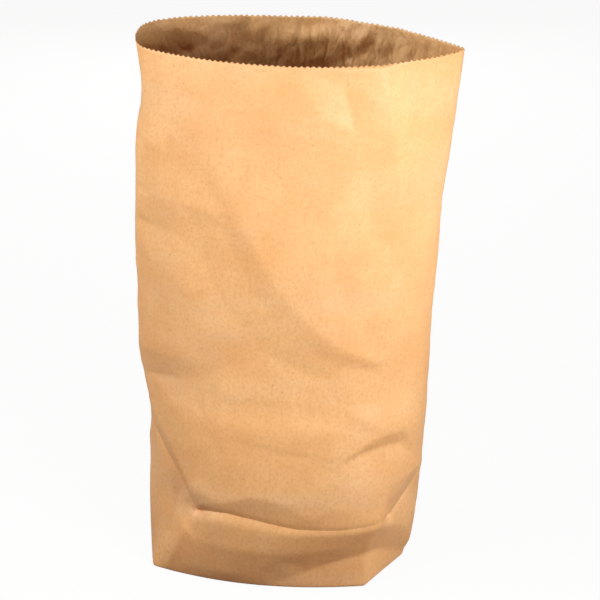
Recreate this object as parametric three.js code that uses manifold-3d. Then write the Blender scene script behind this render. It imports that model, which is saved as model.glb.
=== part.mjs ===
// Paper waste sack: a tube of two-ply kraft pasted along the back, its foot folded and pasted
// to a squared bottom, its mouth cut with a pinked edge. It stands open and empty.
// Millimetres, +Z up. The width runs along X and the creased front faces -Y.
//
// A place on the paper is (around, up): around runs from the left side crease across the front
// to the right side crease and back over the rear panel, and up is the height above the floor.

import * as THREE from 'three';
import Module from 'manifold-3d';

// The paper and its cut
const FLAT_WIDTH = 500; // tube laid flat, from side crease to side crease
const BOTTOM_WIDTH = 200; // squared bottom, front edge to rear edge
const STANDING_HEIGHT = 750; // floor to the tips of the teeth
const PAPER = 0.4; // both plies
const SEAM_LAP = 30; // pasted lap up the middle of the back
const FLAP_LAP = 24; // closing flap under the bottom, past the line between the side creases
const FLAP_MARGIN = 4; // closing flap, back from the roll of the foot
const FLAP_DEPTH = 0.6; // half a paper of it is in the sheet that it is pasted to
const TOOTH_PITCH = 7.35;
const TOOTH_DEPTH = 2.4;

// The foot
const FOOT_ROLL = 4; // radius of the paper where a wall turns under
const CORNER_SOFTNESS = 5; // length over which a corner of the bottom turns
const SETTLE_HEIGHT = 110; // the sides and the back have lost the outline of the bottom here
const FRONT_SETTLE = 190; // the front holds its box corners longer
const HOLD_INSET = 60; // start of that stretch, from the left crease
const HOLD_FADE = 80; // length over which it begins and ends

// How far the wall is opened at each height, as shares of the flat width: reach of the left and
// right crease from the middle, and how far each stands back. The ends of the front and rear
// panels are round at a sharpness near 0.4 and pointed near 1. A fullness over 2 is boxy.
const STATIONS = [
  { rise: 0.127, left: 0.415, right: 0.325, leftBack: -0.012, rightBack: -0.012,
    frontLeft: 0.5, frontRight: 0.44, rearLeft: 0.46, rearRight: 0.44, fullness: 2.4 },
  { rise: 0.2, left: 0.414, right: 0.335, leftBack: -0.014, rightBack: -0.012,
    frontLeft: 0.52, frontRight: 0.48, rearLeft: 0.5, rearRight: 0.48, fullness: 2.3 },
  { rise: 0.32, left: 0.418, right: 0.345, leftBack: -0.014, rightBack: -0.014,
    frontLeft: 0.52, frontRight: 0.52, rearLeft: 0.52, rearRight: 0.52, fullness: 2.1 },
  { rise: 0.378, left: 0.437, right: 0.349, leftBack: -0.012, rightBack: -0.014,
    frontLeft: 0.52, frontRight: 0.54, rearLeft: 0.52, rearRight: 0.54, fullness: 2.1 },
  { rise: 0.53, left: 0.436, right: 0.358, leftBack: -0.018, rightBack: -0.022,
    frontLeft: 0.5, frontRight: 0.58, rearLeft: 0.52, rearRight: 0.62, fullness: 2 },
  { rise: 0.78, left: 0.427, right: 0.385, leftBack: -0.036, rightBack: -0.04,
    frontLeft: 0.47, frontRight: 0.66, rearLeft: 0.46, rearRight: 0.78, fullness: 2 },
  { rise: 0.895, left: 0.412, right: 0.406, leftBack: -0.044, rightBack: -0.048,
    frontLeft: 0.46, frontRight: 0.7, rearLeft: 0.42, rearRight: 0.86, fullness: 2 },
  { rise: 1, left: 0.42, right: 0.424, leftBack: -0.052, rightBack: -0.052,
    frontLeft: 0.44, frontRight: 0.75, rearLeft: 0.36, rearRight: 0.97, fullness: 2 },
];

// The bottom under that wall: shifted to the left and turned a little, its side tips and its
// front and rear edges pushed out, all as shares of the flat width.
const BOTTOM_POSE = { shiftX: -0.079, shiftY: 0.002, leftTip: 0.05, rightTip: 0.073,
  frontSwell: 0.05, rearSwell: 0.03 };
const BOTTOM_YAW = THREE.MathUtils.degToRad(-2.3);

const CREASE_ENDS = [0.308, 0.868]; // level part of the front's crease, in shares of the flat width

// Folds that squaring the bottom leaves across the front, from the floor up. A point is its place
// as a share of the flat width, its height as a share of the bottom's width, and how far it stands
// proud. The paper runs straight from line to line, with so many rows of facets up to each.
const FRONT_FOLDS = [
  { rows: 2, // hem: tucked under at the left, turned out at the right
    line: [[0, 0.2, 0], [0.24, 0.2, 2], [0.3, 0.2, 5], [0.4, 0.225, 9], [0.524, 0.15, 5],
      [0.67, 0.17, -2], [0.8, 0.24, -6], [0.92, 0.145, -5], [1, 0.05, 0]] },
  { rows: 3, // crest of the roll under the crease
    line: [[0, 1.12, 0], [0.1, 0.97, -5], [0.2, 0.8, -10], [CREASE_ENDS[0], 0.465, -3],
      [0.364, 0.465, 7], [0.412, 0.465, 10], [0.49, 0.445, 11.5], [0.596, 0.435, 13],
      [0.71, 0.43, 9.5], [0.77, 0.44, 8], [0.836, 0.43, 3], [CREASE_ENDS[1], 0.425, -2],
      [0.92, 0.53, -4], [1, 0.72, 0]] },
  { rows: 1, // valley crease, half a bottom's width up, with its two diagonals
    line: [[0, 1.18, -1], [0.1, 1.03, -6], [0.2, 0.86, -11], [CREASE_ENDS[0], 0.515, -4],
      [0.4, 0.525, 5], [0.548, 0.47, 9], [0.596, 0.46, 11], [0.71, 0.455, 10], [0.82, 0.47, 4],
      [CREASE_ENDS[1], 0.465, -3], [0.92, 0.57, -7], [0.97, 0.69, -4], [1, 0.76, 0]] },
  { rows: 2, // ridges of the slack over the crease
    line: [[0, 1.33, 0], [0.09, 1.22, 5], [0.2, 1.025, 10], [0.256, 0.8, 8],
      [CREASE_ENDS[0], 0.59, 2], [0.38, 0.635, 8], [0.452, 0.795, 12], [0.608, 0.55, 10],
      [0.82, 0.595, 4], [0.86, 0.58, 0], [0.904, 0.785, 4], [1, 0.8, 0]] },
  { rows: 3, // valley of the step at the left and of the slack fold at the right
    line: [[0, 1.4, -1], [0.12, 1.405, -6], [0.22, 1.46, -4], [0.33, 1.36, 1], [0.452, 1.07, 6],
      [0.69, 0.995, -1], [0.804, 1.01, -6], [0.94, 0.91, 0], [1, 0.9, 0]] },
  { rows: 2, // ridges over those valleys
    line: [[0, 1.54, 1], [0.14, 1.61, 4], [0.36, 1.6, 0], [0.64, 1.31, 0], [0.804, 1.14, 4],
      [0.894, 1.07, 2], [1, 1.06, 0]] },
  { rows: 3, // the panel is even again
    line: [[0, 2, 0], [1, 2, 0]] },
];
const FOLD_FADE = 40; // length over which a fold dies out past a side crease
const FOLD_ROUNDING = 1.5; // 1 is a plain ridge, and more eases its foot

// Soft folds: points as shares of the flat width and of the height, how far the line stands proud,
// and how far its slopes reach. The rear panel runs from 1 to 2 of the flat width.
const SOFT_FOLDS = [
  { line: [[0.3, 0.857], [0.444, 0.693], [0.54, 0.584], [0.69, 0.479], [0.776, 0.445]],
    lift: 7, reach: 60 }, // long slant over the middle
  { line: [[0.08, 0.671], [0.24, 0.672]], lift: -4, reach: 40 }, // hollow at its left
  { line: [[0.752, 1], [0.8, 0.88], [0.828, 0.69], [0.836, 0.588]],
    lift: 5, reach: 50 }, // buckle under the mouth
  { line: [[0.66, 0.967], [0.69, 0.88]], lift: -3, reach: 30 }, // dip beside the buckle
  { line: [[0.116, 1], [0.128, 0.833], [0.09, 0.56]], lift: 5, reach: 40 }, // turn of the left side
  { line: [[1, 0.176], [1.2, 0.01]], lift: 4, reach: 34 }, // side tips of the bottom, stood up
  { line: [[2, 0.213], [1.8, 0.01]], lift: 4, reach: 34 },
];

// Fineness of the mesh
const TEETH_PER_COLUMN = 2;
const FOOT_ROWS = 2;
const BODY_ROWS = 12;
const RIM_BAND = 7; // plain strip between the last row and the roots of the teeth
const LEVEL_STEP = 7.5; // spacing of the worked-out sections
const CURVE_STEPS = 400;
const SOFT_TAPS = [1, 2, 3, 2, 1];
const FIT_STEPS = 40;
const LEAN_STEP = 3; // half the length that a direction is taken over
const SEAM_STEP = 0.6; // width of the paper's edge at the seam

const PERIMETER = 2 * FLAT_WIDTH;
const HALF_EDGE = (FLAT_WIDTH - BOTTOM_WIDTH) / 2;
const { clamp, lerp, smoothstep } = THREE.MathUtils;

// One panel's line at one height, from the left crease to the right one. side is -1 at the front.
class PanelCurve extends THREE.Curve {
  constructor(station, side) {
    super();
    this.arcLengthDivisions = CURVE_STEPS;
    this.side = side;
    this.fullness = station.fullness;
    this.leftSharpness = side < 0 ? station.frontLeft : station.rearLeft;
    this.rightSharpness = side < 0 ? station.frontRight : station.rearRight;
    this.start = new THREE.Vector2(-station.left, station.leftBack).multiplyScalar(FLAT_WIDTH);
    this.end = new THREE.Vector2(station.right, station.rightBack).multiplyScalar(FLAT_WIDTH);
    this.bulge = 0;
  }

  getPoint(t, target = new THREE.Vector2()) {
    const along = -Math.cos(Math.PI * t);
    const sharpness = along < 0 ? this.leftSharpness : this.rightSharpness;
    const swell = Math.max(0, 1 - Math.abs(along) ** this.fullness) ** sharpness;
    target.lerpVectors(this.start, this.end, (along + 1) / 2);
    target.y += this.side * this.bulge * swell;
    return target;
  }

  // Paper does not stretch, so the panel bulges until its line is as long as the flat width.
  fitToPaper() {
    let low = 0;
    let high = FLAT_WIDTH;
    for (let step = 0; step < FIT_STEPS; step += 1) {
      this.bulge = (low + high) / 2;
      this.updateArcLengths();
      if (this.getLength() < FLAT_WIDTH) {
        low = this.bulge;
      } else {
        high = this.bulge;
      }
    }
    return this;
  }
}

// Slopes of a curve that passes through the values without overshooting.
function gentleSlopes(places, values) {
  const rises = places.slice(1).map((place, i) => (values[i + 1] - values[i]) / (place - places[i]));
  return values.map((value, i) => {
    if (i === 0 || i === values.length - 1) {
      return rises[Math.min(i, rises.length - 1)];
    }
    const before = rises[i - 1];
    const after = rises[i];
    return before * after > 0 ? (2 * before * after) / (before + after) : 0;
  });
}

function valueAt(places, values, place) {
  const slopes = gentleSlopes(places, values);
  const at = clamp(place, places[0], places[places.length - 1]);
  const i = Math.max(0, places.findLastIndex((p, k) => p <= at && k < places.length - 1));
  const span = places[i + 1] - places[i];
  const t = (at - places[i]) / span;
  const fromStart = (1 + 2 * t) * (1 - t) ** 2 * values[i] + t * (1 - t) ** 2 * span * slopes[i];
  const fromEnd = t ** 2 * (3 - 2 * t) * values[i + 1] + t ** 2 * (t - 1) * span * slopes[i + 1];
  return fromStart + fromEnd;
}

function stationAt(rise) {
  const places = STATIONS.map((station) => station.rise);
  const keys = Object.keys(STATIONS[0]);
  return Object.fromEntries(
    keys.map((key) => [key, valueAt(places, STATIONS.map((station) => station[key]), rise)]),
  );
}

// The wall's sections, closely spaced from the floor to the teeth.
const levelCount = Math.ceil(STANDING_HEIGHT / LEVEL_STEP);
const levels = Array.from({ length: levelCount + 1 }, (_, i) => {
  const station = stationAt(i / levelCount);
  return {
    front: new PanelCurve(station, -1).fitToPaper(),
    rear: new PanelCurve(station, 1).fitToPaper(),
  };
});

function sectionPoint(level, around) {
  if (around <= FLAT_WIDTH) {
    return level.front.getPointAt(around / FLAT_WIDTH);
  }
  return level.rear.getPointAt((PERIMETER - around) / FLAT_WIDTH);
}

// Outline of the squared bottom: two long edges and two side tips.
function bottomOutline() {
  const half = BOTTOM_WIDTH / 2;
  const frontHandle = half + 2 * BOTTOM_POSE.frontSwell * FLAT_WIDTH;
  const rearHandle = half + 2 * BOTTOM_POSE.rearSwell * FLAT_WIDTH;
  const leftTip = -HALF_EDGE - BOTTOM_POSE.leftTip * FLAT_WIDTH;
  const rightTip = HALF_EDGE + BOTTOM_POSE.rightTip * FLAT_WIDTH;
  const path = new THREE.Path();
  path.moveTo(leftTip, 0);
  path.lineTo(-HALF_EDGE, -half);
  path.quadraticCurveTo(0, -frontHandle, HALF_EDGE, -half);
  path.lineTo(rightTip, 0);
  path.lineTo(HALF_EDGE, half);
  path.quadraticCurveTo(0, rearHandle, -HALF_EDGE, half);
  path.lineTo(leftTip, 0);
  return path;
}

const outline = bottomOutline();

function softOutlinePoint(around) {
  const sum = new THREE.Vector2();
  const middle = (SOFT_TAPS.length - 1) / 2;
  SOFT_TAPS.forEach((weight, i) => {
    const offset = ((i - middle) * CORNER_SOFTNESS) / middle;
    const place = (around + offset + PERIMETER) % PERIMETER;
    sum.addScaledVector(outline.getPoint(place / PERIMETER), weight);
  });
  return sum.divideScalar(SOFT_TAPS.reduce((total, weight) => total + weight, 0));
}

// The bottom's outline is as long as the tube that it is folded from.
const softLength = new THREE.Path(
  Array.from({ length: CURVE_STEPS + 1 }, (_, i) => softOutlinePoint((i / CURVE_STEPS) * PERIMETER)),
).getLength();
const outlineScale = PERIMETER / softLength;

function bottomPoint(around) {
  const place = softOutlinePoint(around).multiplyScalar(outlineScale);
  place.rotateAround(new THREE.Vector2(), BOTTOM_YAW);
  place.x += BOTTOM_POSE.shiftX * FLAT_WIDTH;
  place.y += BOTTOM_POSE.shiftY * FLAT_WIDTH;
  return place;
}

// How far the wall has left the outline of the bottom for its own.
function settledShare(around, up) {
  const ends = 1 - (1 - Math.min(up / SETTLE_HEIGHT, 1)) ** 2;
  const front = smoothstep(up, 0, FRONT_SETTLE);
  const hold = Math.min(around - HOLD_INSET, FLAT_WIDTH - around) / HOLD_FADE;
  return lerp(ends, front, clamp(hold, 0, 1));
}

// The wall before its folds, in plan.
function plainPoint(around, up) {
  const place = (around + PERIMETER) % PERIMETER;
  const level = clamp((up / STANDING_HEIGHT) * levelCount, 0, levelCount);
  const below = Math.min(Math.floor(level), levelCount - 1);
  const point = sectionPoint(levels[below], place);
  point.lerp(sectionPoint(levels[below + 1], place), level - below);
  const settled = settledShare(place, up);
  return settled < 1 ? bottomPoint(place).lerp(point, settled) : point;
}

function outward(around, up) {
  const before = plainPoint(around - LEAN_STEP, up);
  const along = plainPoint(around + LEAN_STEP, up).sub(before).normalize();
  return new THREE.Vector2(along.y, -along.x);
}

// Height and lift of a fold line at a place. Over the rear panel it runs home straight, without
// its lift.
function foldAt(line, around) {
  const [, firstUp, firstProud] = line[0];
  const [, lastUp, lastProud] = line[line.length - 1];
  const share = around / FLAT_WIDTH;
  if (share > 1) {
    const fromLast = clamp(1 - (around - FLAT_WIDTH) / FOLD_FADE, 0, 1);
    const fromFirst = clamp(1 - (PERIMETER - around) / FOLD_FADE, 0, 1);
    const up = lerp(lastUp, firstUp, share - 1) * BOTTOM_WIDTH;
    return { up, proud: lastProud * fromLast + firstProud * fromFirst };
  }
  const i = line.findLastIndex(([place], k) => place <= share && k < line.length - 1);
  const [start, startUp, startProud] = line[i];
  const [end, endUp, endProud] = line[i + 1];
  const t = (share - start) / (end - start);
  return { up: lerp(startUp, endUp, t) * BOTTOM_WIDTH, proud: lerp(startProud, endProud, t) };
}

function frontLift(around, up) {
  let below = { up: 0, proud: 0 };
  for (const { line } of FRONT_FOLDS) {
    const above = foldAt(line, around);
    if (up <= above.up) {
      return lerp(below.proud, above.proud, (up - below.up) / (above.up - below.up));
    }
    below = above;
  }
  return 0;
}

function softFoldLift(around, up) {
  const nearest = new THREE.Vector3();
  return SOFT_FOLDS.reduce((sum, fold) => {
    const points = fold.line.map(([x, z]) => new THREE.Vector3(x * FLAT_WIDTH, z * STANDING_HEIGHT, 0));
    const turns = Math.round((points[0].x - around) / PERIMETER);
    const place = new THREE.Vector3(around + turns * PERIMETER, up, 0);
    const gaps = points.slice(1).map((end, i) => {
      new THREE.Line3(points[i], end).closestPointToPoint(place, true, nearest);
      return nearest.distanceTo(place);
    });
    const share = Math.max(0, 1 - Math.min(...gaps) / fold.reach);
    return sum + fold.lift * share ** FOLD_ROUNDING;
  }, 0);
}

// A point of the wall with its folds. inset draws it in, for the roll of the foot.
function wallPoint(around, up, inset = 0) {
  const lift = frontLift(around, up) + softFoldLift(around, up) - inset;
  const place = plainPoint(around, up).addScaledVector(outward(around, up), lift);
  return new THREE.Vector3(place.x, place.y, up);
}

// The teeth stand on whole pitches, so the nearest number of them fills the mouth.
const toothCount = TEETH_PER_COLUMN * Math.round(PERIMETER / TOOTH_PITCH / TEETH_PER_COLUMN);
const pitch = PERIMETER / toothCount;
const seamEdge = FLAT_WIDTH * 1.5 - SEAM_LAP / 2;

// Columns stand under every second tooth, and on the corners of the bottom and of the crease.
function columnPlaces() {
  const width = pitch * TEETH_PER_COLUMN;
  const half = BOTTOM_WIDTH / 2;
  const corners = [half, FLAT_WIDTH - half, FLAT_WIDTH + half, PERIMETER - half];
  const creaseEnds = CREASE_ENDS.map((share) => share * FLAT_WIDTH);
  const kept = [...corners, ...creaseEnds, seamEdge - SEAM_STEP / 2, seamEdge + SEAM_STEP / 2];
  const regular = Array.from({ length: toothCount / TEETH_PER_COLUMN }, (_, i) => i * width);
  const clear = regular.filter((place) => kept.every((key) => Math.abs(place - key) > width / 3));
  return [...clear, ...kept].sort((a, b) => a - b);
}

// The lap adds one more paper at its free edge and eases back into the panel beyond it.
function seamLift(around) {
  const past = around - seamEdge;
  if (past <= 0) {
    return 0;
  }
  return PAPER * clamp(2 - past / SEAM_LAP, 0, 1);
}

// The sheet: points in rows from the bottom to the teeth, with the triangles of its outer face.
const sheet = { points: [], arounds: [], triangles: [] };

function addPoint(around, point) {
  sheet.points.push(point);
  sheet.arounds.push(around);
  return sheet.points.length - 1;
}

function addRow(arounds, pointAt) {
  return arounds.map((around) => addPoint(around, pointAt(around)));
}

// Joins two rows whose points need not pair up, going round once.
function joinRows(lower, upper) {
  const placeOf = (row, i) => (i < row.length ? sheet.arounds[row[i]] : PERIMETER);
  const at = (row, i) => row[i % row.length];
  let i = 0;
  let j = 0;
  while (i < lower.length || j < upper.length) {
    const lowerFirst = placeOf(lower, i + 1) <= placeOf(upper, j + 1);
    if (j >= upper.length || (i < lower.length && lowerFirst)) {
      sheet.triangles.push([at(lower, i), at(lower, i + 1), at(upper, j)]);
      i += 1;
    } else {
      sheet.triangles.push([at(lower, i), at(upper, j + 1), at(upper, j)]);
      j += 1;
    }
  }
}

function buildSheet() {
  const columns = columnPlaces();
  const rows = [];
  for (let k = 0; k <= FOOT_ROWS; k += 1) {
    const angle = (k / FOOT_ROWS) * (Math.PI / 2);
    const up = PAPER + FOOT_ROLL * (1 - Math.cos(angle));
    const inset = FOOT_ROLL * (1 - Math.sin(angle));
    rows.push(addRow(columns, (around) => wallPoint(around, up, inset)));
  }
  const roots = STANDING_HEIGHT - TOOTH_DEPTH;
  const bands = [...FRONT_FOLDS, { rows: BODY_ROWS }];
  let below = () => PAPER + FOOT_ROLL;
  bands.forEach(({ rows: count, line }) => {
    const start = below;
    const end = line ? (around) => foldAt(line, around).up : () => roots - RIM_BAND;
    for (let k = 1; k <= count; k += 1) {
      rows.push(addRow(columns, (around) => wallPoint(around, lerp(start(around), end(around), k / count))));
    }
    below = end;
  });
  const edge = Array.from({ length: 2 * toothCount }, (_, i) => (i * pitch) / 2);
  const rim = addRow(edge, (around) => {
    const isTip = Math.round((2 * around) / pitch) % 2 === 1;
    return wallPoint(around, isTip ? STANDING_HEIGHT : roots);
  });
  rows.push(rim);
  rows.slice(1).forEach((row, k) => joinRows(rows[k], row));
  const floor = rows[0].map((i) => new THREE.Vector2(sheet.points[i].x, sheet.points[i].y));
  THREE.ShapeUtils.triangulateShape(floor, []).forEach(([a, b, c]) => {
    sheet.triangles.push([rows[0][a], rows[0][c], rows[0][b]]);
  });
  return rim;
}

// Directions in which the sheet's outer face looks, point by point. The mouth is cut level.
function sheetNormals(rim) {
  const geometry = new THREE.BufferGeometry().setFromPoints(sheet.points);
  geometry.setIndex(sheet.triangles.flat());
  geometry.computeVertexNormals();
  const attribute = geometry.getAttribute('normal');
  const normals = sheet.points.map((_, i) => new THREE.Vector3().fromBufferAttribute(attribute, i));
  rim.forEach((i) => normals[i].setZ(0).normalize());
  return normals;
}

// Gives the sheet its thickness: an outer and an inner face, closed along the teeth.
function shellGeometry() {
  const rim = buildSheet();
  const normals = sheetNormals(rim);
  const outer = sheet.points.map((point, i) => {
    const isWall = point.z > PAPER + FOOT_ROLL;
    const lift = isWall ? seamLift(sheet.arounds[i]) : 0;
    return point.clone().addScaledVector(normals[i], lift);
  });
  const inner = sheet.points.map((point, i) => point.clone().addScaledVector(normals[i], -PAPER));
  const count = sheet.points.length;
  const triangles = [...sheet.triangles];
  sheet.triangles.forEach(([a, b, c]) => triangles.push([a + count, c + count, b + count]));
  rim.forEach((a, k) => {
    const b = rim[(k + 1) % rim.length];
    triangles.push([a, b, b + count], [a, b + count, a + count]);
  });
  const geometry = new THREE.BufferGeometry().setFromPoints([...outer, ...inner]);
  geometry.setIndex(triangles.flat());
  return geometry;
}

// The closing flap under the bottom, pasted on from the rear edge to past the middle.
function flapGeometry() {
  const count = Math.round(toothCount / TEETH_PER_COLUMN);
  const start = FLAT_WIDTH - FLAP_LAP;
  const length = FLAT_WIDTH + 2 * FLAP_LAP;
  const points = Array.from({ length: count + 1 }, (_, i) => {
    const around = (start + (length * i) / count) % PERIMETER;
    const place = wallPoint(around, PAPER, FOOT_ROLL + FLAP_MARGIN);
    return new THREE.Vector2(place.x, place.y);
  });
  const settings = { depth: FLAP_DEPTH, bevelEnabled: false };
  return new THREE.ExtrudeGeometry(new THREE.Shape(points), settings);
}

const wasm = await Module();
wasm.setup();

function solidOf(geometry) {
  const position = geometry.getAttribute('position');
  const found = new Map();
  const vertices = [];
  const triangles = [];
  const count = geometry.index ? geometry.index.count : position.count;
  for (let i = 0; i < count; i += 1) {
    const source = geometry.index ? geometry.index.getX(i) : i;
    const point = [position.getX(source), position.getY(source), position.getZ(source)];
    const key = point.join(' ');
    if (!found.has(key)) {
      found.set(key, found.size);
      vertices.push(...point);
    }
    triangles.push(found.get(key));
  }
  const mesh = new wasm.Mesh({
    numProp: 3,
    vertProperties: new Float32Array(vertices),
    triVerts: new Uint32Array(triangles),
  });
  return new wasm.Manifold(mesh);
}

function geometryOf(solid) {
  const mesh = solid.getMesh();
  const geometry = new THREE.BufferGeometry();
  geometry.setAttribute('position', new THREE.BufferAttribute(mesh.vertProperties, 3));
  geometry.setIndex(new THREE.BufferAttribute(mesh.triVerts, 1));
  return geometry;
}

// The origin is on the floor, under the middle of the sack's box.
function centredOnFloor(geometry) {
  geometry.computeBoundingBox();
  const { min, max } = geometry.boundingBox;
  return geometry.translate(-(min.x + max.x) / 2, -(min.y + max.y) / 2, -min.z);
}

const kraft = new THREE.MeshStandardMaterial({ color: 0xdcae74, roughness: 0.85, metalness: 0 });
const sackSolid = solidOf(shellGeometry()).add(solidOf(flapGeometry()));
const sack = new THREE.Mesh(centredOnFloor(geometryOf(sackSolid)), kraft);
sack.name = 'paper_sack';
sack.geometry.computeVertexNormals();

const part = new THREE.Group();
part.add(sack);

export default part;
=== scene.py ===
import math

import bpy
import numpy as np
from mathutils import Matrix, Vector, geometry


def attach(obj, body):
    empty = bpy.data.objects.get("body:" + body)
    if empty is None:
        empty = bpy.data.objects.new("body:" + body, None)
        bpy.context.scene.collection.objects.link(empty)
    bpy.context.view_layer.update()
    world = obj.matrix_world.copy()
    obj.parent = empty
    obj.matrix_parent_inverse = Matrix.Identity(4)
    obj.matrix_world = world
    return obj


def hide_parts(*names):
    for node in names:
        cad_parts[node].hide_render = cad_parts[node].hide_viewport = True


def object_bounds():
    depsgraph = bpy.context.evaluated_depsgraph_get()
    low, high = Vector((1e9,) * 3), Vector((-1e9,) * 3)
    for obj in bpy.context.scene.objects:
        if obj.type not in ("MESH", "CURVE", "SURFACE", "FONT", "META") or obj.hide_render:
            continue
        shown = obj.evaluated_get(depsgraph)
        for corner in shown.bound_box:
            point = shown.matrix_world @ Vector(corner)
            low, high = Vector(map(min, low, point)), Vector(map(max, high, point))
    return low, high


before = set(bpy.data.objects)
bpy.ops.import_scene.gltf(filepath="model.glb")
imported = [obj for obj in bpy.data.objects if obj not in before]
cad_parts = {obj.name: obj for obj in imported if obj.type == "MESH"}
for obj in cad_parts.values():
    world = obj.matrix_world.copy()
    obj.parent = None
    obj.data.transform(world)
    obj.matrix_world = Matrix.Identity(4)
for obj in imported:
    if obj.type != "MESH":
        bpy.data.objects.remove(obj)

cadLow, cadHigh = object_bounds()
mm = 0.001  # the paper is laid out in millimetres, the meshes are in metres
print("frame loaded, box in mm", [round((h - l) / mm, 1) for l, h in zip(cadLow, cadHigh)])

# The sack is one tube of kraft. A place on it is (around, up): around runs from the left end of
# the front panel to its right end and home over the back, up is the height over the floor.
sackForm = {
    "flatWidth": 500.0,
    "bottomWidth": 200.0,
    "bottomDepth": 0.96,  # share of its width that the bottom opens to
    "height": (cadHigh.z - cadLow.z) / mm,
    "paper": 0.4,  # thickness
    "footRoll": 4.0,  # radius where a wall turns under
    "cornerSoftness": 5.0,
    "settleHeight": 110.0,  # the side ends and the back have lost the bottom's outline here
    "frontSettle": 190.0,  # the front holds its box corners longer
    "frontHold": (60.0, 80.0),  # it does so from this far round, with this fade at both ends
    "bottomShift": (-0.079, -0.006),  # shares of the flat width, as the tips and swells are
    "bottomYaw": -2.3,
    "leftTip": 0.05,
    "rightTip": 0.073,
    "frontSwell": 0.05,
    "rearSwell": 0.03,
    "seamLap": 30.0,
    "seamFade": 30.0,
    "seamRise": 40.0,  # the lap lies flat at the floor and is whole from this height
    "toothCount": 136,
    "toothDepth": 2.4,
}
turnLength = 2 * sackForm["flatWidth"]
backMiddle = 1.5 * sackForm["flatWidth"]

# How far the wall is opened at each height, in shares of the height and of the flat width. The
# last five are powers that shape the bulge of the panels.
openedTo = {
    "rise": [0.127, 0.2, 0.32, 0.378, 0.53, 0.78, 0.895, 1.0],
    "left": [0.415, 0.414, 0.418, 0.437, 0.436, 0.427, 0.412, 0.42],
    "right": [0.325, 0.335, 0.345, 0.349, 0.358, 0.385, 0.406, 0.424],
    "leftBack": [-0.012, -0.014, -0.014, -0.012, -0.018, -0.036, -0.044, -0.052],
    "rightBack": [-0.012, -0.012, -0.014, -0.014, -0.022, -0.04, -0.048, -0.052],
    "frontLeft": [0.5, 0.52, 0.52, 0.52, 0.5, 0.47, 0.46, 0.44],
    "frontRight": [0.44, 0.48, 0.52, 0.54, 0.58, 0.66, 0.7, 0.75],
    "rearLeft": [0.46, 0.5, 0.52, 0.52, 0.52, 0.46, 0.4, 0.31],
    "rearRight": [0.44, 0.48, 0.52, 0.54, 0.62, 0.78, 0.86, 0.97],
    "fullness": [2.4, 2.3, 2.1, 2.1, 2.0, 2.0, 2.0, 2.0],
}

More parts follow.
